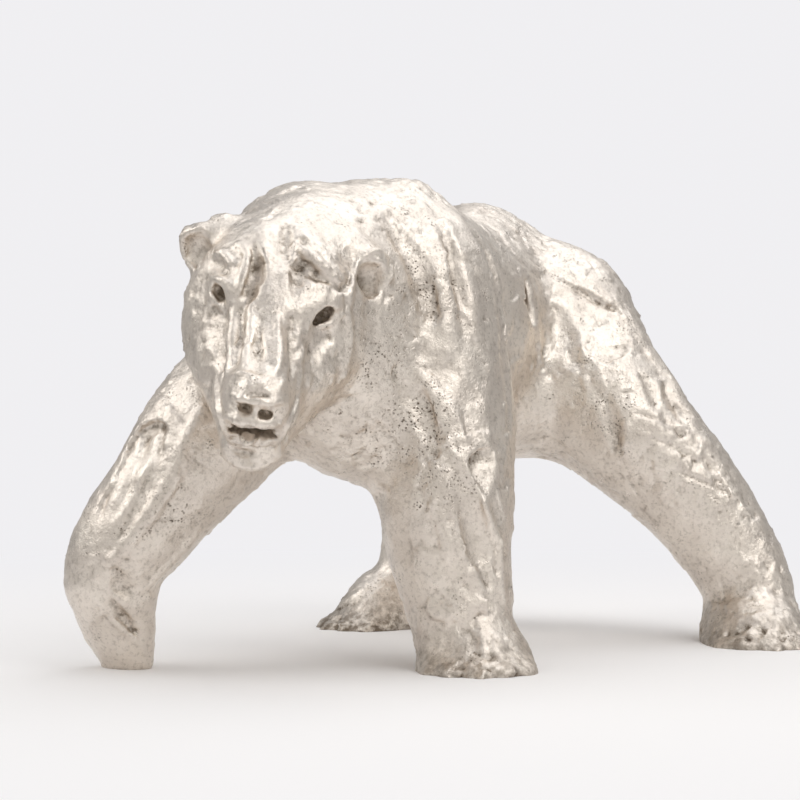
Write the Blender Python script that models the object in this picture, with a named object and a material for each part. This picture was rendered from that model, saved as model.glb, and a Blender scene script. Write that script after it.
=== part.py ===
# A polar bear in mid stride with its head turned to the left, cast in one piece of silvery metal.
# The bear looks along +X, its left side is at +Y, and its feet stand on the plane Z = 0. Sizes are in metres.
from math import radians

import bpy
import numpy as np
import openvdb
from mathutils import Euler, Matrix, Vector

# The driving size, from the ground to the top of the rump. The figure's own proportions are written below on a
# bear about 259 tall, and the finished figure is brought to this height as a whole.
HEIGHT = 0.259

# How finely the clay is shaped, and how many faces the solid keeps.
CELL = 2.0
SOLID_FACES = 9600

SILVER = (0.80, 0.77, 0.72, 1)
SILVER_ROUGHNESS = 0.34

LEFT = Vector((0, 1, 0))
AHEAD = Vector((1, 0, 0))


class Clay:
    """The figure while it is shaped: a grid of distances to its skin, negative inside the clay."""

    FAR = 12.0

    def __init__(self, low, high, cell):
        self.low = np.array(low, np.float32)
        self.cell = cell
        counts = np.ceil((np.array(high) - self.low) / cell).astype(int) + 1
        self.skin = np.full(counts, self.FAR, np.float32)

    def near(self, low, high):
        """The part of the grid between two corners, and its coordinates along each axis."""
        first = np.maximum(np.floor((np.array(low) - self.low) / self.cell).astype(int), 0)
        last = np.minimum(np.ceil((np.array(high) - self.low) / self.cell).astype(int) + 1, self.skin.shape)
        window = tuple(slice(a, b) for a, b in zip(first, last))
        lines = [self.low[k] + self.cell * np.arange(first[k], last[k], dtype=np.float32) for k in range(3)]
        return window, np.meshgrid(*lines, indexing="ij", sparse=True)

    def add(self, form, blend=6.0):
        """Presses a form on, with a fillet that grows with the blend."""
        window, places = self.near(*form.bounds(blend + 2 * self.cell))
        there, new = self.skin[window], form.distance(*places)
        overlap = np.maximum(blend - np.abs(there - new), 0)
        self.skin[window] = np.minimum(there, new) - overlap * overlap / (4 * blend)

    def cut(self, form, blend=2.0):
        """Scoops a form out, and rounds the rim."""
        window, places = self.near(*form.bounds(blend + 2 * self.cell))
        there, gone = self.skin[window], -form.distance(*places)
        overlap = np.maximum(blend - np.abs(there - gone), 0)
        self.skin[window] = np.maximum(there, gone) + overlap * overlap / (4 * blend)

    def mesh(self, name, height):
        """The skin as a mesh of quads, so tall above the ground, with the middle of its box at the origin."""
        grid = openvdb.FloatGrid(self.FAR)
        grid.copyFromArray(self.skin)
        points, quads = grid.convertToQuads(isovalue=0.0)
        points = points * self.cell + self.low
        standing = points[points[:, 2] > 0]
        low, high = standing.min(axis=0), standing.max(axis=0)
        middle = np.array((0.5 * (low[0] + high[0]), 0.5 * (low[1] + high[1]), 0))
        points = (points - middle) * height / high[2]
        made = bpy.data.meshes.new(name)
        made.from_pydata(points.tolist(), [], quads.tolist())
        return made


class Egg:
    """An ellipsoid. The turn is in degrees about X, Y and Z."""

    def __init__(self, centre, radii, turn=(0, 0, 0)):
        self.centre = Vector(centre)
        self.radii = radii
        self.turn = Euler([radians(angle) for angle in turn]).to_matrix()

    def move(self, origin, turn):
        self.centre = origin + turn @ self.centre
        self.turn = turn @ self.turn

    def bounds(self, margin):
        reach = [
            margin + sum((row[k] * self.radii[k]) ** 2 for k in range(3)) ** 0.5 for row in self.turn
        ]
        low = [c - r for c, r in zip(self.centre, reach)]
        high = [c + r for c, r in zip(self.centre, reach)]
        return low, high

    def distance(self, x, y, z):
        smallest = 1e-4
        size = smallest**2
        steepness = (smallest / min(self.radii)) ** 2
        for k, radius in enumerate(self.radii):
            axis = self.turn.col[k]
            share = ((x - self.centre.x) * axis.x + (y - self.centre.y) * axis.y) / radius
            share = share + (z - self.centre.z) * axis.z / radius
            size = size + share**2
            steepness = steepness + (share / radius) ** 2
        size = np.sqrt(size)
        return size * (size - 1) / np.sqrt(steepness)


class Bar:
    """A limb or trunk along a smooth curve through (x, y, z, radius to the side, radius across) stations."""

    STEPS = 8

    def __init__(self, *stations, side=LEFT):
        self.rows = smooth_rows(np.array(stations, float), self.STEPS)
        run = Vector(stations[-1][:3]) - Vector(stations[0][:3])
        self.side = (side - side.project(run)).normalized()

    def move(self, origin, turn):
        for row in self.rows:
            row[:3] = origin + turn @ Vector(row[:3])
        self.side = turn @ self.side

    def bounds(self, margin):
        reach = self.rows[:, 3:].max(axis=1, keepdims=True) + margin
        return (self.rows[:, :3] - reach).min(axis=0), (self.rows[:, :3] + reach).max(axis=0)

    def distance(self, x, y, z):
        # The place along the curve comes first, between planes that stand square to it, then the oval
        # section there.
        points = self.rows[:, :3]
        ways = np.gradient(points, axis=0)
        found, along = np.inf, 0.0
        for k in range(len(points) - 1):
            start, end = points[k], points[k + 1]
            px, py, pz = x - start[0], y - start[1], z - start[2]
            past = px * ways[k, 0] + py * ways[k, 1] + pz * ways[k, 2]
            run = end - start
            qx, qy, qz = px - run[0], py - run[1], pz - run[2]
            short = -qx * ways[k + 1, 0] - qy * ways[k + 1, 1] - qz * ways[k + 1, 2]
            share = np.clip(past / np.maximum(past + short, 1e-3), 0, 1)
            square = (px - share * run[0]) ** 2 + (py - share * run[1]) ** 2 + (pz - share * run[2]) ** 2
            nearer = square < found
            found = np.where(nearer, square, found)
            along = np.where(nearer, k + share, along)
        steps = np.arange(len(self.rows))
        cx, cy, cz, to_side, across = (np.interp(along, steps, self.rows[:, k]) for k in range(5))
        sideways = (x - cx) * self.side.x + (y - cy) * self.side.y + (z - cz) * self.side.z
        sideways = sideways**2
        length = np.sqrt(found + 1e-6)
        size = np.sqrt(sideways / to_side**2 + np.maximum(found - sideways, 1e-6) / across**2)
        return length * (1 - 1 / size)


def smooth_rows(rows, steps):
    """More rows on a smooth curve through the given ones."""
    made = []
    for k in range(len(rows) - 1):
        before, here, there = rows[max(k - 1, 0)], rows[k], rows[k + 1]
        after = rows[min(k + 2, len(rows) - 1)]
        bend = 2 * before - 5 * here + 4 * there - after
        twist = 3 * here - before - 3 * there + after
        for t in np.arange(steps) / steps:
            made.append(here + 0.5 * ((there - before) * t + bend * t**2 + twist * t**3))
    return np.array([*made, rows[-1]])


class Seat:
    """A local frame, such as the head's, in which forms are placed."""

    def __init__(self, origin, pitch=0.0, yaw=0.0, roll=0.0):
        self.origin = Vector(origin)
        self.turn = (
            Matrix.Rotation(radians(yaw), 3, "Z")
            @ Matrix.Rotation(radians(pitch), 3, "Y")
            @ Matrix.Rotation(radians(roll), 3, "X")
        )

    def place(self, form):
        form.move(self.origin, self.turn)
        return form


def pair(centre, radii, turn=(0, 0, 0)):
    """An egg and its mirror image across the local XZ plane."""
    x, y, z = centre
    roll, pitch, yaw = turn
    return [Egg((x, y, z), radii, turn), Egg((x, -y, z), radii, (-roll, pitch, -yaw))]


def shape_trunk(clay):
    clay.add(
        Bar(
            (-236, -5, 180, 40, 52),
            (-220, -7, 183, 48, 60),
            (-185, -10, 182, 50, 64),
            (-135, -10, 177, 54, 68),
            (-85, -8, 183, 54, 70.5),
            (-45, -5, 183, 52, 70),
            (-12, -5, 176, 47, 60),
        ),
        8,
    )
    # The croup stands above the hips, the brisket hangs between the forelegs, and a fold of skin joins belly
    # and thigh.
    clay.add(Egg((-200, -15, 205), (60, 29, 52), (8, 0, 0)), 24)
    clay.add(Egg((-186, 14, 136), (44, 34, 31)), 16)
    clay.add(Egg((-229, 29, 169), (46, 39, 56)), 20)
    clay.add(Egg((-226, -42, 168), (46, 34, 56)), 20)
    clay.add(Egg((-6, -6, 156), (34, 44, 53)), 14)
    clay.add(Egg((-26, 7, 130), (36, 36, 36)), 16)
    # The two shoulder blades stand up beside the spine.
    clay.add(Egg((-55, 13, 208), (34, 17, 45), (-6, 0, 0)), 12)
    clay.add(Egg((-50, -25, 209), (32, 16, 44), (6, 0, 0)), 12)
    # The flank is hollow behind the left shoulder, and the tail lies against the rump.
    clay.cut(Egg((-112, 60, 190), (20, 14, 62), (0, -8, 0)), 16)
    clay.add(Bar((-274, -6, 204, 12, 9), (-286, -7, 188, 10, 8), (-291, -8, 172, 7, 6)), 8)


def shape_neck(clay):
    clay.add(
        Bar(
            (-44, -6, 188, 48, 60),
            (-8, -8, 189, 46, 56),
            (20, -10, 190, 42, 50),
            (42, -7, 186, 38, 40),
        ),
        14,
    )
    clay.add(Egg((5, -26, 209), (27, 31, 44), (0, -30, 0)), 14)


def shape_paw(clay, paw, length, width, height):
    """A flat foot whose five toes fan out in front."""
    clay.add(paw.place(Egg((0, 0, 0), (length, width, height))), 8)
    for k in range(5):
        fan = radians(26 * (k - 2))
        ahead, aside = 0.78 * length * np.cos(fan), 0.84 * width * np.sin(fan)
        clay.add(paw.place(Egg((ahead, aside, 3), (16, 0.24 * width, 10), (0, 8, 13 * (k - 2)))), 5)


def shape_left_foreleg(clay):
    clay.add(
        Bar(
            (-56, 30, 196, 32, 42),
            (-53, 35, 160, 33, 42),
            (-48, 40, 120, 34, 41),
            (-42, 44, 85, 34.5, 37),
            (-38, 49, 55, 31, 32),
            (-36, 55, 30, 27, 28),
            (-35, 59, 12, 24, 26),
        ),
        16,
    )
    # The elbow, and the muscle in front of the forearm.
    clay.add(Egg((-76, 38, 124), (20, 22, 32), (0, 14, 0)), 14)
    clay.add(Egg((-30, 48, 92), (22, 24, 34), (0, -8, 0)), 14)
    shape_paw(clay, Seat((-36, 65, 0), yaw=26), 33, 29, 27)


def shape_right_foreleg(clay):
    clay.add(
        Bar(
            (-44, -34, 188, 35, 42),
            (-10, -44, 154, 30, 38),
            (22, -57, 121, 36, 37),
            (43, -71, 91, 30.5, 31),
            (58, -87, 62, 28, 26),
            (62, -92, 46, 24, 22),
        ),
        12,
    )
    # The paw hangs from the bent wrist and touches the ground with its tip.
    clay.add(
        Bar((62, -92, 50, 24, 20), (60, -93, 34, 23, 18), (55, -92, 17, 20, 14), (51, -91, 3, 15, 10)),
        6,
    )


def shape_left_hindleg(clay):
    clay.add(
        Bar(
            (-216, 20, 186, 42, 46),
            (-211, 43, 152, 45, 46),
            (-212, 72, 122, 41, 38.5),
            (-222, 100.5, 91, 32.5, 33),
            (-232, 120, 62, 29, 29),
            (-236, 136, 34, 26, 26.5),
            (-232, 140, 14, 24, 26),
            side=AHEAD,
        ),
        14,
    )
    shape_paw(clay, Seat((-223, 147, 0), yaw=30), 38, 31, 28)


def shape_right_hindleg(clay):
    clay.add(
        Bar(
            (-220, -26, 188, 44, 46),
            (-208, -40, 148, 43, 41),
            (-196, -50, 112, 35, 33),
            (-203, -62, 76, 26, 25),
            (-211, -69, 50, 22, 22),
            (-210, -73, 26, 22, 22),
            side=AHEAD,
        ),
        14,
    )
    shape_paw(clay, Seat((-191, -84, 0), yaw=-30), 31, 28, 23)
    clay.add(Egg((-197, -84, 8), (27, 25, 27)), 8)


def shape_head(clay):
    head = Seat((42, -5, 184), pitch=25, yaw=28, roll=-10)
    masses = [
        (Egg((-8, 0, 2), (42, 41, 34)), 10),
        (Bar((8, 0, -2, 36, 30), (28, 0, -7, 27, 26), (52, 0, -15, 19, 22), (76, 0, -21, 15, 18)), 8),
        (Bar((4, 0, -30, 34, 22), (36, 0, -40, 25, 17), (64, 0, -48, 15, 12)), 8),
        (Egg((12, 0, 18), (34, 27, 15), (0, 24, 0)), 10),
    ]
    masses += [(form, 8) for form in pair((2, 23, -16), (34, 22, 31), (0, 0, -8))]
    masses += [(form, 8) for form in pair((22, 18, 15), (15, 12, 8), (0, 24, 10))]
    masses += [(form, 10) for form in pair((28, 20, -22), (28, 14, 19), (0, 12, -14))]
    masses += [(form, 6) for form in pair((62, 11, -27), (21, 10, 12), (0, 14, -8))]
    masses += [(form, 4) for form in pair((75, 8, -19), (12, 9, 13))]
    masses += [(form, 3) for form in pair((84, 5, -11), (8, 7, 8))]
    masses += [(form, 8) for form in pair((-15, 31, 24.5), (10, 12, 11))]
    masses += [(form, 5) for form in pair((-10, 41.5, 18.5), (6, 12, 13), (-12, 0, 20))]
    for form, blend in masses:
        clay.add(head.place(form), blend)
    hollows = [(form, 6) for form in pair((41, 28, 6), (8, 6, 7))]
    hollows += [(form, 2) for form in pair((31, 23, 10), (5, 5, 4), (0, 0, 12))]
    hollows += [(form, 3) for form in pair((-3, 43.5, 18.5), (6, 8, 9), (-12, 0, 20))]
    hollows.append((Egg((22, 0, 38), (22, 7, 6), (0, 26, 0)), 8))
    hollows.append((Egg((84, 0, -37), (17, 12, 3), (0, 8, 0)), 2))
    for form, blend in hollows:
        clay.cut(head.place(form), blend)


def shape_bear(cell):
    clay = Clay((-312, -150, -20), (130, 206, 276), cell)
    for shape in (
        shape_trunk,
        shape_neck,
        shape_left_foreleg,
        shape_right_foreleg,
        shape_left_hindleg,
        shape_right_hindleg,
        shape_head,
    ):
        shape(clay)
    return clay


def silver():
    made = bpy.data.materials.new("silver")
    made.use_nodes = True
    shader = made.node_tree.nodes["Principled BSDF"]
    shader.inputs["Base Color"].default_value = SILVER
    shader.inputs["Roughness"].default_value = SILVER_ROUGHNESS
    shader.inputs["Metallic"].default_value = 1.0
    made.diffuse_color = SILVER
    return made


def lay_ground():
    """A block whose top is the plane the feet stand on. It trims the soles flat."""
    size = 4 * HEIGHT
    bpy.ops.mesh.primitive_cube_add(size=size, location=(0, 0, -0.5 * size))
    ground = bpy.context.active_object
    ground.name = "ground"
    ground.hide_render = True
    ground.display_type = "WIRE"
    return ground


def main():
    for old in list(bpy.data.objects):
        bpy.data.objects.remove(old)
    mesh = shape_bear(CELL).mesh("bear", HEIGHT)
    mesh.shade_smooth()
    mesh.materials.append(silver())
    bear = bpy.data.objects.new("bear", mesh)
    bpy.context.scene.collection.objects.link(bear)

    # The clay is brought down to the faces a solid can carry, and the soles are trimmed.
    fewer = bear.modifiers.new("fewer faces", "DECIMATE")
    fewer.ratio = SOLID_FACES / (2 * len(mesh.polygons))
    trim = bear.modifiers.new("flat soles", "BOOLEAN")
    trim.operation = "DIFFERENCE"
    trim.solver = "EXACT"
    trim.object = lay_ground()


if __name__ == "__main__":
    main()
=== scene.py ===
from math import cos, pi, radians, sin

import bmesh
import bpy
import numpy as np
import openvdb
from mathutils import Euler, Matrix, Vector


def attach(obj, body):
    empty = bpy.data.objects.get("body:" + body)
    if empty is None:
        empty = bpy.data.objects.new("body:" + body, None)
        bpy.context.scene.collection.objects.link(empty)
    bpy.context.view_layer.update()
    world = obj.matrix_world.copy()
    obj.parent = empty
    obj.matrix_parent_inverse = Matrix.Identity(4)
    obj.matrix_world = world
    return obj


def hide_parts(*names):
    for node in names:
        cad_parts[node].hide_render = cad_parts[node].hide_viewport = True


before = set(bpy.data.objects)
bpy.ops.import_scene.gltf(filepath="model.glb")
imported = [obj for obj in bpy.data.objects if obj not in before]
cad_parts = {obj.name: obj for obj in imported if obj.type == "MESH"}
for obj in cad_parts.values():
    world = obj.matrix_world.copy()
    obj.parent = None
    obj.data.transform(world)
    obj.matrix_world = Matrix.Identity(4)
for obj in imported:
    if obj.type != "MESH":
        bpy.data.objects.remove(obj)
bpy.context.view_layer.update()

# The bear is modelled as clay: a grid of distances to its skin, negative inside. Its proportions are
# millimetres on a bear that looks along +X with its left side at +Y, 259 tall.
bearForm = {
    "height": 0.259,  # metres from the floor to the top of the croup
    "drawnHeight": 259.08,
    "middle": (-90.235, 33.27),  # the drawn place that stands at the origin
    "low": (-312, -150, -20),  # the corners of the grid
    "high": (130, 206, 276),
    "cell": 1.25,  # finer cells show finer tool marks
    "quickCell": 2.0,
    "triangles": 192000,
    "spine": -8,  # the Y of the plane that the marks of the flanks are mirrored across
}
unit = bearForm["height"] / bearForm["drawnHeight"]
toLeft = Vector((0, 1, 0))
toFront = Vector((1, 0, 0))


class Clay:
    far = 12.0  # the distance that stands for empty air
    probe = 1.6  # cells from a place to those that give the slope there
    longestStep = 4  # how far one step of settling may move a place
    settlings = 4

    def __init__(self, low, high, cell):
        self.low = np.array(low, np.float32)
        self.cell = cell
        counts = np.ceil((np.array(high) - self.low) / cell).astype(int) + 1
        self.skin = np.full(counts, self.far, np.float32)

    def near(self, low, high):
        first = np.maximum(np.floor((np.array(low) - self.low) / self.cell).astype(int), 0)
        last = np.minimum(np.ceil((np.array(high) - self.low) / self.cell).astype(int) + 1, self.skin.shape)
        window = tuple(slice(a, b) for a, b in zip(first, last))
        lines = [self.low[k] + self.cell * np.arange(first[k], last[k], dtype=np.float32) for k in range(3)]
        return window, np.meshgrid(*lines, indexing="ij", sparse=True)

    def add(self, form, blend=6.0):  # presses a form on, with a fillet that grows with the blend
        window, places = self.near(*form.bounds(blend + 2 * self.cell))
        there, new = self.skin[window], form.distance(*places)
        overlap = np.maximum(blend - np.abs(there - new), 0)
        self.skin[window] = np.minimum(there, new) - overlap * overlap / (4 * blend)

    def cut(self, form, blend=2.0):  # scoops a form out and rounds the rim
        window, places = self.near(*form.bounds(blend + 2 * self.cell))
        there, gone = self.skin[window], -form.distance(*places)
        overlap = np.maximum(blend - np.abs(there - gone), 0)
        self.skin[window] = np.maximum(there, gone) + overlap * overlap / (4 * blend)

    def depthAt(self, points, skin=None):  # the distance at any places, between the grid's own
        skin = self.skin if skin is None else skin
        places = (points - self.low) / self.cell
        base = np.clip(np.floor(places).astype(int), 0, np.array(skin.shape) - 2)
        part = (places - base).astype(np.float32)
        total = np.zeros(len(points), np.float32)
        for dx in (0, 1):
            for dy in (0, 1):
                for dz in (0, 1):
                    weight = np.abs(1 - dx - part[:, 0]) * np.abs(1 - dy - part[:, 1])
                    weight *= np.abs(1 - dz - part[:, 2])
                    total += weight * skin[base[:, 0] + dx, base[:, 1] + dy, base[:, 2] + dz]
        return total

    def outward(self, points):  # the way out of the clay
        steps = np.eye(3, dtype=np.float32) * (self.probe * self.cell)
        rises = [self.depthAt(points + step) - self.depthAt(points - step) for step in steps]
        slope = np.stack(rises, axis=1)
        return slope / np.maximum(np.linalg.norm(slope, axis=1, keepdims=True), 1e-6)

    def settle(self, points):  # moves places that are near the skin onto it
        points = np.array(points, np.float32)
        for _ in range(self.settlings):
            step = np.clip(self.depthAt(points), -self.longestStep, self.longestStep)
            points = points - step[:, None] * self.outward(points)
        return points, self.outward(points)

    def blurred(self, reach):
        cells = max(1, round(reach / self.cell))
        soft = self.skin
        for axis in range(3):
            total = soft.copy()
            for shift in range(1, cells + 1):
                total += np.roll(soft, shift, axis) + np.roll(soft, -shift, axis)
            soft = total / (2 * cells + 1)
        return soft

    def quads(self):
        grid = openvdb.FloatGrid(self.far)
        grid.copyFromArray(self.skin)
        points, faces = grid.convertToQuads(isovalue=0.0)
        return points * self.cell + self.low, faces


class Egg:
    def __init__(self, centre, radii, turn=(0, 0, 0)):
        self.centre = Vector(centre)
        self.radii = radii
        self.turn = Euler([radians(angle) for angle in turn]).to_matrix()

    def move(self, origin, turn):
        self.centre = origin + turn @ self.centre
        self.turn = turn @ self.turn

    def bounds(self, margin):
        reach = [margin + sum((row[k] * self.radii[k]) ** 2 for k in range(3)) ** 0.5 for row in self.turn]
        return [c - r for c, r in zip(self.centre, reach)], [c + r for c, r in zip(self.centre, reach)]

    def distance(self, x, y, z):
        smallest = 1e-4
        size = smallest**2
        steepness = (smallest / min(self.radii)) ** 2
        for k, radius in enumerate(self.radii):
            axis = self.turn.col[k]
            share = ((x - self.centre.x) * axis.x + (y - self.centre.y) * axis.y) / radius
            share = share + (z - self.centre.z) * axis.z / radius
            size = size + share**2
            steepness = steepness + (share / radius) ** 2
        size = np.sqrt(size)
        return size * (size - 1) / np.sqrt(steepness)


class Slab:  # what lies above a plane, inside a ball: the clay that one stroke of a knife takes off
    fadeFrom = 0.55  # share of the reach at which the cut starts to run out
    fadeDepth = 0.6

    def __init__(self, point, normal, reach):
        self.point, self.normal, self.reach = point, normal, reach

    def bounds(self, margin):
        return self.point - self.reach - margin, self.point + self.reach + margin

    def distance(self, x, y, z):
        px, py, pz = x - self.point[0], y - self.point[1], z - self.point[2]
        above = px * self.normal[0] + py * self.normal[1] + pz * self.normal[2]
        away = np.sqrt(px**2 + py**2 + pz**2) / self.reach
        above = above - self.fadeDepth * self.reach * np.maximum(away - self.fadeFrom, 0) ** 2
        return np.maximum(-above, (away - 1) * self.reach)


class Bar:  # a smooth curve through (x, y, z, radius to the side, radius across) stations
    steps = 8

    def __init__(self, *stations, side=toLeft):
        self.rows = smoothRows(np.array(stations, float), self.steps)
        run = Vector(stations[-1][:3]) - Vector(stations[0][:3])
        self.side = (side - side.project(run)).normalized()

    def move(self, origin, turn):
        for row in self.rows:
            row[:3] = origin + turn @ Vector(row[:3])
        self.side = turn @ self.side

    def bounds(self, margin):
        reach = self.rows[:, 3:].max(axis=1, keepdims=True) + margin
        return (self.rows[:, :3] - reach).min(axis=0), (self.rows[:, :3] + reach).max(axis=0)

    def distance(self, x, y, z):
        points = self.rows[:, :3]
        ways = np.gradient(points, axis=0)
        found, along = np.inf, 0.0
        for k in range(len(points) - 1):
            start, end = points[k], points[k + 1]
            px, py, pz = x - start[0], y - start[1], z - start[2]
            past = px * ways[k, 0] + py * ways[k, 1] + pz * ways[k, 2]
            run = end - start
            qx, qy, qz = px - run[0], py - run[1], pz - run[2]
            short = -qx * ways[k + 1, 0] - qy * ways[k + 1, 1] - qz * ways[k + 1, 2]
            share = np.clip(past / np.maximum(past + short, 1e-3), 0, 1)
            square = (px - share * run[0]) ** 2 + (py - share * run[1]) ** 2 + (pz - share * run[2]) ** 2
            nearer = square < found
            found = np.where(nearer, square, found)
            along = np.where(nearer, k + share, along)
        steps = np.arange(len(self.rows))
        cx, cy, cz, toSide, across = (np.interp(along, steps, self.rows[:, k]) for k in range(5))
        sideways = ((x - cx) * self.side.x + (y - cy) * self.side.y + (z - cz) * self.side.z) ** 2
        length = np.sqrt(found + 1e-6)
        size = np.sqrt(sideways / toSide**2 + np.maximum(found - sideways, 1e-6) / across**2)
        return length * (1 - 1 / size)


def smoothRows(rows, steps):
    made = []
    for k in range(len(rows) - 1):
        before, here, there = rows[max(k - 1, 0)], rows[k], rows[k + 1]
        after = rows[min(k + 2, len(rows) - 1)]
        bend = 2 * before - 5 * here + 4 * there - after
        twist = 3 * here - before - 3 * there + after
        for t in np.arange(steps) / steps:
            made.append(here + 0.5 * ((there - before) * t + bend * t**2 + twist * t**3))
    return np.array([*made, rows[-1]])


class Seat:  # a local frame, such as the head's
    def __init__(self, origin, pitch=0.0, yaw=0.0, roll=0.0):
        self.origin = Vector(origin)
        self.turn = (
            Matrix.Rotation(radians(yaw), 3, "Z")
            @ Matrix.Rotation(radians(pitch), 3, "Y")
            @ Matrix.Rotation(radians(roll), 3, "X")
        )

    def place(self, form):
        form.move(self.origin, self.turn)
        return form

    def local(self, points):
        return (points - np.array(self.origin, np.float32)) @ np.array(self.turn, np.float32)


def pair(centre, radii, turn=(0, 0, 0)):  # an egg and its mirror image across the local XZ plane
    x, y, z = centre
    roll, pitch, yaw = turn
    return [Egg((x, y, z), radii, turn), Egg((x, -y, z), radii, (-roll, pitch, -yaw))]


def shapeTrunk(clay):
    clay.add(
        Bar(
            (-236, -5, 180, 40, 52),
            (-220, -7, 183, 48, 60),
            (-185, -10, 182, 50, 64),
            (-135, -10, 177, 54, 68),
            (-85, -8, 183, 54, 70.5),
            (-45, -5, 183, 52, 70),
            (-12, -5, 176, 47, 60),
        ),
        8,
    )
    clay.add(Egg((-200, -15, 205), (60, 29, 52), (8, 0, 0)), 24)  # croup
    clay.add(Egg((-186, 14, 136), (44, 34, 31)), 16)  # fold from belly to thigh
    clay.add(Egg((-229, 29, 169), (46, 39, 56)), 20)  # haunches
    clay.add(Egg((-226, -42, 168), (46, 34, 56)), 20)
    clay.add(Egg((-6, -6, 156), (34, 44, 53)), 14)  # brisket
    clay.add(Egg((-26, 7, 130), (36, 36, 36)), 16)
    clay.add(Egg((-55, 13, 208), (34, 17, 45), (-6, 0, 0)), 12)  # shoulder blades
    clay.add(Egg((-50, -25, 209), (32, 16, 44), (6, 0, 0)), 12)
    clay.cut(Egg((-112, 60, 190), (20, 14, 62), (0, -8, 0)), 16)  # hollow flank
    clay.add(Bar((-274, -6, 204, 12, 9), (-286, -7, 188, 10, 8), (-291, -8, 172, 7, 6)), 8)  # tail


def shapeNeck(clay):
    clay.add(
        Bar((-44, -6, 188, 48, 60), (-8, -8, 189, 46, 56), (20, -10, 190, 42, 50), (42, -7, 186, 38, 40)),
        14,
    )
    clay.add(Egg((5, -26, 209), (27, 31, 44), (0, -30, 0)), 14)


def shapePaw(clay, paw, length, width, height):
    clay.add(paw.place(Egg((0, 0, 0), (length, width, height))), 8)
    clay.add(paw.place(Egg((0.42 * length, 0, 0), (0.74 * length, 1.02 * width, 9))), 6)
    toes = ((0.80, 0.24, 5), (0.80, 0.30, 6), (0.88, 0.26, 5), (0.82, 0.30, 6.5), (0.84, 0.26, 5))
    for k, (reach, breadth, tall) in enumerate(toes):
        fan = radians(26 * (k - 2) + 4)
        ahead, aside = reach * length * cos(fan), 0.84 * width * sin(fan)
        clay.add(paw.place(Egg((ahead, aside, 1), (16, breadth * width, tall), (0, 8, 13 * (k - 2)))), 5)


def shapeLeftForeleg(clay):
    clay.add(
        Bar(
            (-56, 30, 196, 32, 42),
            (-53, 35, 160, 33, 42),
            (-48, 40, 120, 34, 41),
            (-42, 44, 85, 34.5, 37),
            (-38, 49, 55, 31, 32),
            (-36, 55, 30, 27, 28),
            (-35, 59, 12, 24, 26),
        ),
        16,
    )
    clay.add(Egg((-76, 38, 124), (20, 22, 32), (0, 14, 0)), 14)  # elbow
    clay.add(Egg((-30, 48, 92), (22, 24, 34), (0, -8, 0)), 14)
    shapePaw(clay, Seat((-36, 65, 0), yaw=26), 33, 29, 27)


def shapeRightForeleg(clay):
    clay.add(
        Bar(
            (-44, -34, 188, 35, 42),
            (-10, -44, 154, 30, 38),
            (22, -57, 121, 36, 37),
            (43, -71, 91, 30.5, 31),
            (58, -87, 62, 28, 26),
            (62, -92, 46, 24, 22),
        ),
        12,
    )
    # The paw hangs from the bent wrist and touches the floor with its tip.
    clay.add(
        Bar((62, -92, 50, 24, 20), (60, -93, 34, 23, 18), (55, -92, 17, 20, 14), (51, -91, 3, 15, 10)),
        6,
    )


def shapeLeftHindleg(clay):
    clay.add(
        Bar(
            (-216, 20, 186, 42, 46),
            (-211, 43, 152, 45, 46),
            (-212, 72, 122, 41, 38.5),
            (-222, 100.5, 91, 32.5, 33),
            (-232, 120, 62, 29, 29),
            (-236, 136, 34, 26, 26.5),
            (-232, 140, 14, 24, 26),
            side=toFront,
        ),
        14,
    )
    shapePaw(clay, Seat((-223, 147, 0), yaw=30), 38, 31, 28)


def shapeRightHindleg(clay):
    clay.add(
        Bar(
            (-220, -26, 188, 44, 46),
            (-208, -40, 148, 43, 41),
            (-196, -50, 112, 35, 33),
            (-203, -62, 76, 26, 25),
            (-211, -69, 50, 22, 22),
            (-210, -73, 26, 22, 22),
            side=toFront,
        ),
        14,
    )
    shapePaw(clay, Seat((-191, -84, 0), yaw=-30), 31, 28, 23)
    clay.add(Egg((-197, -84, 8), (27, 25, 27)), 8)


def headSeat():
    return Seat((42, -5, 184), pitch=25, yaw=28, roll=-10)


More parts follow.
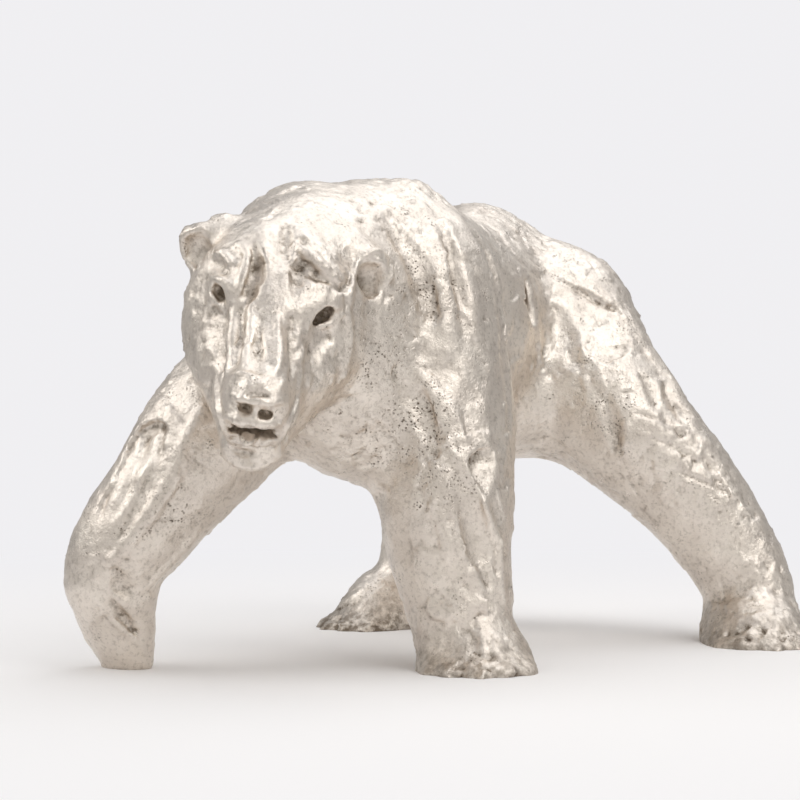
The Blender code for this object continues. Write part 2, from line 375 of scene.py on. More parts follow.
def shapeHead(clay):
    head = headSeat()
    masses = [
        (Egg((-8, 0, 2), (42, 41, 34)), 10),
        (Bar((8, 0, -2, 36, 30), (28, 0, -7, 27, 26), (52, 0, -15, 19, 22), (76, 0, -21, 15, 18)), 8),
        (Bar((4, 0, -30, 34, 22), (36, 0, -40, 25, 17), (64, 0, -48, 15, 12)), 8),
        (Egg((12, 0, 18), (34, 27, 15), (0, 24, 0)), 10),
    ]
    masses += [(form, 8) for form in pair((2, 23, -16), (34, 22, 31), (0, 0, -8))]
    masses += [(form, 8) for form in pair((22, 18, 15), (15, 12, 8), (0, 24, 10))]
    masses += [(form, 10) for form in pair((28, 20, -22), (28, 14, 19), (0, 12, -14))]
    masses += [(form, 6) for form in pair((62, 10.5, -27), (21, 9.5, 12), (0, 14, -8))]
    masses += [(form, 4) for form in pair((75, 7, -19), (12, 8.2, 13))]
    masses += [(form, 3) for form in pair((84, 4.6, -11), (8, 6.2, 8))]
    masses += [(form, 8) for form in pair((-15, 31, 24.5), (10, 12, 11))]
    masses += [(form, 5) for form in pair((-10, 41.5, 18.5), (6, 12, 13), (-12, 0, 20))]
    for form, blend in masses:
        clay.add(head.place(form), blend)
    hollows = [(form, 6) for form in pair((41, 28, 6), (8, 6, 7))]
    hollows += [(form, 1.5) for form in pair((-2.5, 43.5, 18.5), (6.5, 8.5, 9.5), (-12, 0, 20))]
    hollows.append((Egg((22, 0, 38), (22, 7, 6), (0, 26, 0)), 8))
    hollows.append((Egg((84, 0, -34.5), (17, 12.5, 4), (0, 8, 0)), 1.5))
    hollows.append((Egg((89, 0.5, -31), (13, 11.5, 4.8), (0, 10, 0)), 1))
    hollows.append((Egg((30.5, -27, 11.8), (6, 4.8, 3.6), (-8, 0, 0)), 1.6))  # eyes
    hollows.append((Egg((32, 22.6, 9.2), (6, 6.2, 4.4), (34, 0, 0)), 1.8))
    hollows.append((Egg((93, -4.3, -17.6), (7, 3.6, 2.2), (-12, 0, 0)), 0.9))  # nostrils
    hollows.append((Egg((92.4, 5.3, -18.8), (7, 3.8, 2.4), (-16, 0, 0)), 0.9))
    for form, blend in hollows:
        clay.cut(head.place(form), blend)
    clay.add(head.place(Egg((78, -1.5, -36.5), (9, 4.5, 3), (0, 6, 0))), 1)  # tongue


def shapeBear():
    clay = Clay(bearForm["low"], bearForm["high"], bearForm["cell"])
    for shape in (
        shapeTrunk,
        shapeNeck,
        shapeLeftForeleg,
        shapeRightForeleg,
        shapeLeftHindleg,
        shapeRightHindleg,
        shapeHead,
    ):
        shape(clay)
    return clay


# Seeded noise in drawn millimetres: soft waves, and cells that give broken flat planes.
def shuffled(cells, seed):
    mixed = cells[:, 0] * 73856093 ^ cells[:, 1] * 19349663 ^ cells[:, 2] * 83492791 ^ seed * 2654435761
    mixed = mixed & 0xFFFFFFFF
    mixed = ((mixed ^ (mixed >> 15)) * 2246822519) & 0xFFFFFFFF
    mixed = ((mixed ^ (mixed >> 13)) * 3266489917) & 0xFFFFFFFF
    return mixed ^ (mixed >> 16)


def parts(mixed):  # three numbers from -1 to 1 for each cell
    return [((mixed >> shift) & 1023).astype(np.float32) / 511.5 - 1 for shift in (0, 10, 20)]


def waves(points, size, seed):
    places = points / size
    base = np.floor(places).astype(np.int64)
    rest = (places - base).astype(np.float32)
    fade = rest**3 * (rest * (rest * 6 - 15) + 10)
    total = np.zeros(len(points), np.float32)
    for corner in np.ndindex(2, 2, 2):
        slope = parts(shuffled(base + corner, seed))
        weight = np.prod([fade[:, k] if corner[k] else 1 - fade[:, k] for k in range(3)], axis=0)
        total += weight * sum(slope[k] * (rest[:, k] - corner[k]) for k in range(3))
    return total


def planes(points, size, seed):  # how far each point stands from a randomly tilted plane of its cell
    places = points / size
    base = np.floor(places).astype(np.int64)
    nearest = np.full(len(points), np.inf, np.float32)
    tilt = np.zeros(len(points), np.float32)
    for offset in np.ndindex(3, 3, 3):
        cell = base + (np.array(offset) - 1)
        mixed = shuffled(cell, seed)
        centre = [cell[:, k] + 0.5 + 0.45 * part for k, part in enumerate(parts(mixed))]
        away = [(places[:, k] - centre[k]).astype(np.float32) for k in range(3)]
        square = away[0] ** 2 + away[1] ** 2 + away[2] ** 2
        slope = parts(shuffled(cell, seed + 7))
        lean = slope[0] * away[0] + slope[1] * away[1] + slope[2] * away[2]
        nearer = square < nearest
        nearest = np.where(nearer, square, nearest)
        tilt = np.where(nearer, lean, tilt)
    return tilt


# What the modeller's hands and tools left on the clay. Each mark is a stroke along the skin: raised or sunk,
# how far it blends, then places on it with half its breadth and its height.
headMarks = [
    # recesses in the forehead and the ridges of the brows
    ("cut", 1.5, (20, -14, 33.5, 3, 2), (27, -12, 29.5, 4.5, 4.4), (34, -9.5, 24.4, 3.4, 3)),
    ("cut", 1.2, (34, -12, 22, 2.4, 1.6), (38.5, -12.5, 19, 4.4, 3.4), (43, -14, 13.5, 2.6, 1.6)),
    ("cut", 1.2, (19.5, 8.5, 33.5, 2, 1.4), (24, 9.5, 31, 4, 3.8), (30, 9, 27, 4.2, 3.4),
     (37, 8.5, 21.5, 2, 1.2)),
    ("cut", 1.2, (27, 12, 28.5, 2, 1.6), (25.5, 17, 28, 4, 3.2), (23, 23, 25.5, 3, 2.2)),
    ("add", 1.2, (13, 5.5, 36.5, 1.8, 1), (18.5, 11, 34, 3, 3), (20.5, 17.5, 31, 3.4, 3.4),
     (21, 24, 27, 3.2, 3), (19, 29.5, 23, 2, 1)),
    ("cut", 1.2, (25, 27, 21.5, 1.5, 1), (17, 32, 20, 2.8, 2), (8, 34, 20.5, 2, 1)),
    ("add", 1.2, (16, -22, 33, 2, 1), (23, -17, 31.5, 2.8, 2), (31, -16.5, 25.5, 2.8, 2.4),
     (38, -17.5, 18, 2.2, 1.4)),
    ("add", 1.2, (12, -33, 25.5, 2, 1), (19, -29, 27.5, 3.6, 2.6), (25, -25, 26.5, 2.4, 1.4)),
    ("cut", 1.2, (15, -33.5, 21, 1.6, 1), (21, -29.5, 22.5, 2.8, 2.4), (28, -24.5, 22.5, 2, 1.2)),
    ("add", 1, (24, -33.5, 17, 1.4, 1), (29.5, -28.5, 18.5, 2.2, 2), (35, -22.5, 18, 2.2, 1.8),
     (39, -19, 14, 1.4, 1)),
    # the lids of the eyes
    ("add", 0.8, (33, 16.5, 10.5, 1.2, 0.8), (30, 22, 14.8, 2.2, 2), (24.5, 28.5, 17, 1.4, 1)),
    ("add", 0.8, (35.5, 19, 3, 1, 0.8), (30, 26.5, 5, 1.9, 1.6), (24, 31.5, 9.5, 1.2, 0.8)),
    ("add", 0.8, (34, -22, 4.5, 1, 0.8), (29.5, -28.5, 7.5, 1.6, 1.4), (25, -33, 11, 1, 0.8)),
    # the bridge of the muzzle, the grooves beside it and the planes of its sides
    ("cut", 2, (43, -14.5, 10, 2.4, 1.4), (52, -13, 3.6, 3.2, 2.6), (62, -13, -3.5, 3, 2.2),
     (72, -12.5, -7, 2, 1)),
    ("cut", 2, (46, 9, 11.5, 2.2, 1.2), (55, 11.5, 3.4, 3.4, 2.6), (63, 13.5, -5, 3.2, 2.4),
     (72, 13, -9.5, 2, 1)),
    ("cut", 1.4, (50, -4.5, 10, 1.6, 0.8), (60, -4, 5, 2.6, 1.8), (71, -2, 0.5, 2.6, 1.8),
     (80, -1, -3, 1.6, 0.8)),
    ("add", 1.2, (44, -10, 13.5, 1.4, 0.8), (54, -9.5, 6.5, 2.4, 2.2), (66, -8.5, 0, 2.4, 2.2),
     (78, -7.5, -4.2, 2, 1.2)),
    ("add", 1.2, (48, 3, 11.5, 1.4, 0.8), (57, 4.5, 5.8, 2.6, 2), (67, 6, 0, 2.6, 2.2),
     (78, 6.5, -4, 2, 1.2)),
    ("add", 1.6, (41, -19.5, 8, 2, 1), (50, -18, 0, 3.4, 2.4), (60, -17, -7, 2.8, 1.6),
     (68, -16.5, -12, 1.8, 0.8)),
    ("cut", 1, (44, -20.5, 0, 1.4, 0.8), (54, -19.8, -9, 2.2, 1.6), (66, -18, -16, 1.6, 0.8)),
    ("add", 1.4, (50, 17, -2, 1.8, 0.8), (58, 18, -10, 2.6, 1.8), (66, 18, -16, 1.8, 0.8)),
    # the nose: a squared pad with a seam, a smooth band under it and the upper lip
    ("add", 0.6, (82, -8.5, -6.4, 2.6, 2.4), (88, -5.6, -5.4, 3.4, 3.8),
     (89.6, -2.1, -5.2, 3.2, 3.6)),
    ("add", 0.6, (89.6, 2.3, -5, 2.8, 3.2), (88.2, 6.3, -5, 3.2, 3.8), (83, 9.4, -6, 2.4, 2.2)),
    ("cut", 0.5, (89, 0.2, -3.5, 0.8, 2), (92.5, 0.2, -6.5, 0.9, 2.4), (93, 0.2, -9.5, 0.7, 1)),
    ("cut", 0.6, (92.6, -2.6, -9.6, 0.9, 0.8), (92.4, 1.3, -9.6, 1.4, 2),
     (91.5, 5.2, -9.2, 1.7, 2.6), (89.6, 8.5, -8.8, 1, 0.8)),
    ("add", 0.8, (86, -10.4, -13.4, 2, 1.4), (91.8, -6.1, -12.6, 2.6, 2.2),
     (93, 0, -12.4, 2.6, 2.2), (91.8, 5.7, -12, 2.6, 2.2), (86, 10.4, -13, 2, 1.4)),
    ("add", 0.7, (84, -11.3, -25.5, 1.8, 1.2), (90.6, -7, -22.8, 2.4, 2), (94, -0.9, -22.4, 2.6, 2),
     (92.4, 4.3, -23, 2.6, 2), (86, 11, -23.6, 1.8, 1.2)),
    # the lower lip with its teeth marks, the groove under it and the chin
    ("add", 0.7, (66, -10.9, -42, 1.6, 1.2), (74, -7, -41.5, 2.4, 2.4), (77.5, 0, -41, 2.4, 2.6),
     (76.5, 6.1, -39, 2.4, 2.4), (68, 10.9, -38, 1.6, 1.2)),
    ("cut", 0.4, (79.5, -3.5, -38.5, 0.8, 1.2), (78, -3.5, -43.5, 0.8, 1)),
    ("cut", 0.4, (80.5, 0.5, -38, 0.8, 1.2), (79, 0.5, -43, 0.8, 1)),
    ("cut", 0.4, (80, 4.2, -37.5, 0.8, 1.2), (78.5, 4.2, -42, 0.8, 1)),
    ("cut", 0.8, (73, -7.8, -47, 1.2, 1), (76, -2.6, -48, 2.4, 2.8), (75.5, 3.5, -46.8, 1.2, 1)),
    ("add", 1, (66, -10, -52, 1.8, 1), (73.5, -3.5, -55, 2.8, 2.4), (72.5, 5.2, -53, 2.8, 2.2),
     (66, 11.3, -49, 1.8, 1)),
    # the folds from the nose to the jaw on both sides
    ("add", 0.9, (60, 17.4, -17.5, 1, 0.8), (70.5, 16.4, -22.4, 1.9, 2.2),
     (79, 14.6, -26.5, 1.9, 2.2), (79, 12.7, -34, 1.7, 2), (71, 10.8, -44, 1, 0.8)),
    ("cut", 0.8, (64, 17.4, -24, 1, 0.8), (72, 16.2, -29, 1.9, 1.8), (73, 14.4, -38, 1, 0.8)),
    ("add", 0.9, (54, -20, -21.5, 1, 0.8), (68, -17.2, -23.6, 1.9, 2.2), (79, -14.6, -27, 1.9, 2.2),
     (79, -12.2, -35, 1.7, 2), (72, -8.7, -45, 1, 0.8)),
    ("cut", 0.8, (62, -18.3, -27, 1, 0.8), (72, -16.1, -32, 1.7, 1.6), (72, -13.5, -40, 1, 0.8)),
    # the edge of the cheek and the hollows in front of it
    ("add", 2.5, (-2, 36, 26, 1.5, 0.6), (18, 35, 13, 2.4, 1.6), (24, 38.5, -8, 2.4, 1.8),
     (30, 36, -24, 1.5, 0.8)),
    ("cut", 3, (34, 27, 0, 3, 0.8), (44, 21, -5, 4, 2), (56, 17, -9, 3, 0.8)),
    ("cut", 3, (34, -30, 2, 3, 0.8), (44, -24, -6, 4, 1.8), (56, -20, -14, 3, 0.8)),
    ("cut", 2, (0, -1, 42, 2, 0.6), (10, 0, 39, 3, 1.8), (18, 0, 33.5, 2.4, 1)),
    # the rims of the ears
    ("add", 0.8, (-3, 38, 29, 1, 0.8), (-9.5, 43.5, 31.6, 2, 2), (-17, 50.5, 25.5, 2.2, 2.2),
     (-12, 52.2, 18.5, 2, 2), (-8, 48, 11.5, 1, 0.8)),
    ("add", 0.8, (-4, -38, 29, 1, 0.8), (-7.5, -44, 28.6, 2, 1.8), (-9, -51, 22, 2.2, 2),
     (-9, -48.6, 13.5, 1.8, 1.6), (-4, -44, 8.5, 1, 0.8)),
]
bodyMarks = [
    # right foreleg: the ridge down its front, the wrist and the rim round the back of the paw
    ("add", 2.5, (50, -44, 128, 3, 1), (56, -48, 116, 4, 2.6), (62, -53, 98, 4, 3),
     (70, -62, 79, 4, 3), (80, -77, 56, 3, 1.6)),
    ("cut", 2, (52, -60, 121, 2, 0.6), (62, -60, 104, 4, 1.6), (69, -64, 90, 4, 1.6),
     (77, -73, 69, 2, 0.6)),
    ("add", 2, (52, -76, 116, 2, 0.6), (64, -77, 98, 4, 1.6), (73, -81, 78, 4, 1.6),
     (80, -88, 56, 2, 0.6)),
    ("cut", 1.5, (80, -76, 52, 3, 1), (76, -74, 45, 6, 2.8), (70, -71, 38, 3, 1)),
    ("cut", 1.2, (77, -79, 36, 2, 1), (69, -77.5, 26, 3, 2.6), (61, -76.5, 17, 2, 1.2)),
    ("add", 1.2, (80, -86, 38, 1.5, 0.8), (72, -82, 26, 2.2, 1.8), (63, -79, 17, 2.2, 1.6),
     (56, -77, 9, 1.5, 0.8)),
    ("cut", 4, (30, -40, 110, 5, 1), (44, -48, 92, 8, 2.5), (56, -60, 66, 5, 1)),
    ("add", 2, (64, -68, 44, 2, 0.6), (56, -64, 58, 3, 1.6), (48, -56, 72, 2, 0.6)),
    # left foreleg: the ridge below the shoulder and the hollow beside it
    ("add", 2.5, (-12, 62, 116, 2.5, 1), (-16, 70, 100, 3.5, 2.2), (-21, 75, 84, 3.5, 2.4),
     (-33, 78, 64, 2.5, 1.4)),
    ("add", 1.5, (-33, 78, 64, 2, 1.2), (-33, 78.5, 50, 2.4, 1.5), (-34, 78.5, 36, 1.5, 0.8)),
    ("cut", 3, (-10, 66, 104, 3, 1), (-14, 71, 88, 6.5, 2.8), (-20, 73.5, 66, 6.5, 3.2),
     (-25, 75.5, 46, 3, 1)),
    ("cut", 3, (8, 48, 100, 4, 1), (0, 56, 76, 6, 2), (-6, 58, 52, 4, 1)),
    ("add", 2, (2, 56, 92, 2, 0.6), (-6, 62, 72, 3.5, 1.8), (-10, 64, 50, 2, 0.6)),
    ("add", 3, (-20, 76, 34, 4, 1), (-6, 66, 30, 5, 1.6), (2, 54, 32, 4, 1)),
    # shoulder: muscles that run down from the withers
    ("add", 5, (-32, 34, 236, 4, 1), (-24, 50, 208, 6, 2.4), (-22, 55, 184, 5, 1.6),
     (-20, 57, 162, 3, 0.6)),
    ("add", 4, (-38, 44, 226, 4, 1), (-36, 59, 198, 5.5, 2.4), (-36, 63, 172, 4, 1)),
    ("cut", 5, (-8, 30, 224, 3, 1), (-12, 43, 204, 5, 2.4), (-14, 50, 180, 4, 1.2)),
    ("cut", 3, (-34, 46, 224, 2, 0.6), (-30, 56, 204, 3.5, 1.8), (-31, 60, 184, 2, 0.6)),
    ("cut", 4, (-60, 52, 222, 3, 1), (-66, 56, 190, 6, 2.6), (-62, 62, 150, 5, 2),
     (-56, 66, 122, 3, 1)),
    ("add", 3, (-6, 52, 148, 3, 0.8), (-12, 60, 132, 6, 2), (-16, 66, 118, 4, 1)),
    ("cut", 3, (4, 42, 150, 3, 0.8), (-2, 52, 132, 6, 2.2), (-4, 57, 112, 3, 0.8)),
    ("cut", 1, (14, 30, 128, 0.8, 0.6), (6, 38, 116, 1.3, 1.1), (2, 42, 104, 0.8, 0.6)),
    # rump and left hind leg
    ("cut", 5, (-177, 46, 186, 3, 1), (-174, 50, 176, 6, 2), (-172, 57, 160, 3, 1)),
    ("cut", 2, (-185, 47, 206, 1.2, 0.6), (-194, 60, 197, 2, 0.8), (-206, 72, 186, 1.2, 0.6)),
    ("add", 1.5, (-184, 44, 210, 1.5, 0.8), (-194, 56, 203, 2.6, 1.0), (-207, 68, 193, 1.5, 0.8)),
    ("cut", 2.5, (-174, 72, 144, 2.5, 1), (-176, 78, 131, 4.5, 2.4), (-180, 82, 110, 3, 1)),
    ("add", 4, (-208, 72, 182, 4, 1), (-212, 92, 150, 6, 2.4), (-212, 112, 118, 6, 2.4),
     (-218, 130, 84, 4, 1)),
    ("cut", 3, (-196, 84, 146, 3, 1), (-198, 98, 124, 5, 2), (-205, 112, 100, 3, 1)),
    ("cut", 1, (-182, 88, 130, 0.8, 0.6), (-190, 98, 124, 1.5, 1.3), (-200, 108, 116, 0.8, 0.6)),
    ("cut", 1, (-184, 94, 118, 0.8, 0.6), (-194, 105, 110, 1.5, 1.3), (-205, 116, 102, 0.8, 0.6)),
    ("cut", 1, (-194, 110, 98, 0.8, 0.6), (-203, 119, 92, 1.5, 1.3), (-214, 128, 84, 0.8, 0.6)),
    ("add", 1.5, (-186, 92, 124, 1.5, 0.6), (-194, 102, 117, 2.4, 1.5), (-204, 112, 108, 1.5, 0.6)),
    ("add", 3, (-152, 36, 212, 3, 0.8), (-154, 42, 190, 5, 2), (-156, 44, 166, 3, 0.8)),
]
# Flats cut with a knife: a place on the skin, the way the flat faces, its reach and its depth.
bodyFlats = [
    ((-27, 76, 97), (0.56, 0.75, 0.34), 15, 1.5),
    ((-184, 54, 196), (0.58, 0.70, 0.41), 24, 1.8),
    ((-186, 67, 175), (0.62, 0.70, 0.36), 19, 1.5),
    ((-157, 41, 194), (0.34, 0.88, 0.33), 17, 1.8),
    ((66, -68, 98), (0.82, -0.24, 0.52), 15, 1.2),
    ((73, -74, 82), (0.88, -0.10, 0.46), 15, 1.2),
    ((60, -66, 112), (0.80, -0.26, 0.54), 15, 1.2),
    ((-28, 52, 205), (0.55, 0.75, 0.36), 15, 1.2),
    ((-36, 60, 196), (0.45, 0.84, 0.30), 15, 1.2),
    ((-214, 104, 132), (0.30, 0.80, 0.52), 20, 1.4),
    ((-214, 124, 94), (0.42, 0.82, 0.38), 18, 1.2),
]

headFlats = [
    ((88.5, -4.8, -6), (0.50, -0.38, 0.78), 9, 1.3),
    ((88, 5.7, -5.8), (0.60, 0.33, 0.73), 8, 1.3),
]


tool = {
    "farthest": 11,  # a mark is left out where the skin is further from its places than this
    "loosest": 1.5,  # and where they can't be brought this near to it
    "steepest": 0.6,  # cosine between a flat and the skin that it may be cut in
    "bodyEdge": 0.8,  # rounding of a flat's edge
    "headEdge": 0.5,
    "mirroredBehind": -30,  # marks behind this X, or above the next Z, are on both flanks
    "mirroredAbove": 140,
}


def press(clay, kind, blend, stations, seat=None):
    rows = np.array(stations, np.float32)
    places = rows[:, :3]
    if seat:
        places = np.array([seat.origin + seat.turn @ Vector(place) for place in places.tolist()])
    started = places
    places, outward = clay.settle(places)
    moved, missed = np.abs(places - started).max(), np.abs(clay.depthAt(places)).max()
    if moved > tool["farthest"] or missed > tool["loosest"]:
        return  # nothing there to model
    rows[:, :3] = places
    stroke = Bar(*rows[:, [0, 1, 2, 4, 3]], side=Vector(outward.mean(axis=0)).normalized())
    if kind == "add":
        clay.add(stroke, blend)
    else:
        clay.cut(stroke, blend)


def mirrored(station):  # the same place on the other flank
    x, y, *rest = station
    return (x, 2 * bearForm["spine"] - y, *rest)


def cutFlat(clay, place, facing, reach, depth, edge, steepest=-1):
    point, outward = clay.settle([place])
    if np.dot(outward[0], facing) > steepest:
        facing = np.array(Vector(facing).normalized())
        clay.cut(Slab(point[0] - depth * facing, facing, reach), edge)


def toolMarks(clay):
    for place, (x, y, z), reach, depth in bodyFlats:
        for spot, facing in ((place, (x, y, z)), (mirrored(place), (x, -y, z))):
            cutFlat(clay, spot, facing, reach, depth, tool["bodyEdge"], tool["steepest"])
    for kind, blend, *stations in bodyMarks:
        press(clay, kind, blend, stations)
        x, _, z, *_ = stations[0]
        if x < tool["mirroredBehind"] or z > tool["mirroredAbove"]:
            press(clay, kind, blend, [mirrored(station) for station in stations])
    head = headSeat()
    for kind, blend, *stations in headMarks:
        press(clay, kind, blend, stations, head)
    for place, facing, reach, depth in headFlats:
        place, facing = head.origin + head.turn @ Vector(place), head.turn @ Vector(facing)
        cutFlat(clay, place, facing, reach, depth, tool["headEdge"])


bearRelief = {
    "lumps": (26, 0.8),  # size and height of each kind of unevenness
    "dabs": (11, 0.45),
    "planes": (15, 0.8),
    "chips": (7, 0.7),
    "crumbs": (3.4, 0.42),
    "creases": (9, 0.6),
}
# Where the clay was left rough: a place, its reach and how rough.
roughPlaces = [
    ((76, -76, 48), 22, 1.0),
    ((70, -66, 66), 18, 0.5),
    ((-14, 68, 36), 24, 1.0),
    ((-4, 84, 4), 26, 2.0),
    ((-190, 160, 4), 30, 1.9),
    ((-176, -98, 4), 28, 2.0),
    ((54, 32, 190), 13, 1.4),
    ((66, 25, 200), 14, 1.2),
    ((94, 9, 159), 16, 0.8),
    ((75, 29, 163), 14, 0.8),
    ((52, 37, 160), 16, 0.6),
    ((84, -10, 197), 14, 0.7),
    ((80, 2, 198), 12, 0.9),
    ((18, -50, 196), 13, 1.2),
    ((-172, 56, 164), 20, 0.8),
    ((-192, 104, 112), 30, 0.7),
    ((-190, 56, 206), 22, 0.6),
    ((-6, 60, 122), 26, 0.7),
    ((-192, -118, 112), 30, 0.6),
    ((-20, -70, 130), 30, 0.7),
    ((-230, 10, 150), 40, 0.4),
]


def nearness(points, place, reach, full):  # 1 at the place and round it, 0 from its reach on
    away = np.linalg.norm(points - np.array(place, np.float32), axis=1) / reach
    return np.clip(full - full * away, 0, 1)


def roughness(points):
    share = np.clip(0.35 + 1.5 * waves(points, 34, 5), 0.1, 0.8)
    for place, reach, strength in roughPlaces:
        share = np.maximum(share, strength * nearness(points, place, reach, 1.6))
    return share


def roughen(clay):
    reach = 3.5 + 2 * clay.cell
    found = np.nonzero(np.abs(clay.skin) < reach)
    points = np.stack(found, axis=1).astype(np.float32) * np.float32(clay.cell) + clay.low
    size, tall = ({name: value[k] for name, value in bearRelief.items()} for k in (0, 1))
    rough = roughness(points)
    bent = points + 5 * np.stack([waves(points, 14, seed) for seed in (11, 12, 13)], axis=1)
    height = tall["lumps"] * waves(points, size["lumps"], 1)
    height += tall["dabs"] * waves(bent, size["dabs"], 2)
    height += tall["planes"] * planes(bent, size["planes"], 3)
    height += (0.3 + rough) * tall["chips"] * planes(bent, size["chips"], 4)
    height += (0.2 + rough) * tall["crumbs"] * waves(points, size["crumbs"], 6)
    lines = np.clip(1 - np.abs(waves(bent, size["creases"], 8)) / 0.08, 0, 1)
    height -= np.clip(1.6 * rough - 0.1, 0, 1) * tall["creases"] * lines
    clay.skin[found] -= height


def makeBear(slotMaterial):
    clay = shapeBear()
    print("clay shaped", clay.skin.shape)
    toolMarks(clay)
    print("tool marks made")
    roughen(clay)
    print("clay roughened")
    points, faces = clay.quads()
    mesh = bpy.data.meshes.new("silver_bear")
    mesh.from_pydata(points.tolist(), [], faces.tolist())
    piece = bpy.data.objects.new("silver_bear", mesh)
    bpy.context.scene.collection.objects.link(piece)
    fewer = piece.modifiers.new("fewer", "DECIMATE")
    fewer.ratio = min(1, bearForm["triangles"] / (2 * len(faces)))
    piece.data = bpy.data.meshes.new_from_object(piece.evaluated_get(bpy.context.evaluated_depsgraph_get()))
    piece.modifiers.clear()
    trimSoles(piece.data)
    places = np.empty(3 * len(piece.data.vertices), np.float32)
    piece.data.vertices.foreach_get("co", places)
    places = places.reshape(-1, 3)
    markSkin(piece.data, places, clay)
    places = (places - (*bearForm["middle"], 0)) * unit
    piece.data.vertices.foreach_set("co", places.ravel())
    piece.data.shade_smooth()
    piece.data.materials.clear()
    piece.data.materials.append(slotMaterial)
    piece.name = "silver_bear"
    print("bear meshed", len(piece.data.polygons))
    return piece


def dropCrumbs(made):  # leaves the largest shell alone
    unseen = set(made.verts)
    shells = []
    while unseen:
        shell, front = [], [unseen.pop()]
        while front:
            corner = front.pop()
            shell.append(corner)
            near = {edge.other_vert(corner) for edge in corner.link_edges} & unseen
            unseen -= near
            front.extend(near)
        shells.append(shell)
    shells.sort(key=len)
    crumbs = [corner for shell in shells[:-1] for corner in shell]
    bmesh.ops.delete(made, geom=crumbs, context="VERTS")


def trimSoles(mesh):
    made = bmesh.new()
    made.from_mesh(mesh)
    dropCrumbs(made)
    everything = made.verts[:] + made.edges[:] + made.faces[:]
    bmesh.ops.bisect_plane(made, geom=everything, plane_co=(0, 0, 0), plane_no=(0, 0, 1), clear_inner=True)
    rim = [edge for edge in made.edges if edge.is_boundary]
    bmesh.ops.holes_fill(made, edges=rim, sides=0)
    bmesh.ops.triangulate(made, faces=[face for face in made.faces if len(face.verts) > 4])
    made.to_mesh(mesh)
    made.free()


pittedPlaces = [
    ((16, 36, 160), 34),
    ((-4, 50, 124), 34),
    ((-14, 62, 100), 26),
    ((-10, 40, 196), 30),
    ((-178, 76, 134), 26),
    ((60, -60, 84), 22),
    ((-20, -66, 150), 36),
    ((-200, -70, 130), 34),
]


# Darkening painted into the silver's colour. In hollows and folds it is patina together with painted shade,
# the shade that falls in them. The feet are darker towards the floor.
darkenings = {
    "hollow": (2.6, 1.0),  # how far round it a hollow is felt, and how deep one gets the full painted shade and patina
    "fold": (7, 3.0),
    "footHeight": 26,
    "rightFeet": (-40, 1.5),  # to the right of this Y the feet are darker by this much
    "hangingPaw": (36, 20, 0.1),  # towards this X the feet are less darkened, over 20, down to 0.1
}


# Masks for the darkening painted into the colour: hollow and fold give painted shade with patina in hollows
# and creases, foot darkens the feet towards the floor, and pitted says where pits crowd.
def markSkin(mesh, places, clay):
    hollow, fold = (
        np.clip(-clay.depthAt(places, clay.blurred(darkenings[name][0])) / darkenings[name][1], -1, 1)
        for name in ("hollow", "fold")
    )
    sideAt, darker = darkenings["rightFeet"]
    foot = np.clip(1 - places[:, 2] / darkenings["footHeight"], 0, 1)
    foot = foot * np.where(places[:, 1] < sideAt, darker, 1)
    leastDarkAt, over, least = darkenings["hangingPaw"]
    foot = foot * np.clip((leastDarkAt - places[:, 0]) / over, least, 1)
    pitted = np.zeros(len(places), np.float32)
    for place, reach in pittedPlaces:
        pitted = np.maximum(pitted, nearness(places, place, reach, 1.4))
    for name, value in (("hollow", hollow), ("fold", fold), ("foot", foot), ("pitted", pitted)):
        mark = mesh.attributes.new(name, "FLOAT", "POINT")
        mark.data.foreach_set("value", value.astype(np.float32))


silverLook = {
    "bright": (0.90, 0.83, 0.75, 1),
    "dull": (0.76, 0.69, 0.62, 1),
    # dark patina, also the colour of the painted shade in hollows and folds
    "patinaAndShade": (0.22, 0.18, 0.14, 1),
    "smoothest": 0.27,
    "roughest": 0.44,
    "pitsPerMetre": 620,
    "grain": (620, 0.5),  # waves to the metre, and strength
    "crumple": (150, 0.7),  # waves to the metre, and how broken they are
    "bump": 0.0008,  # metres
}


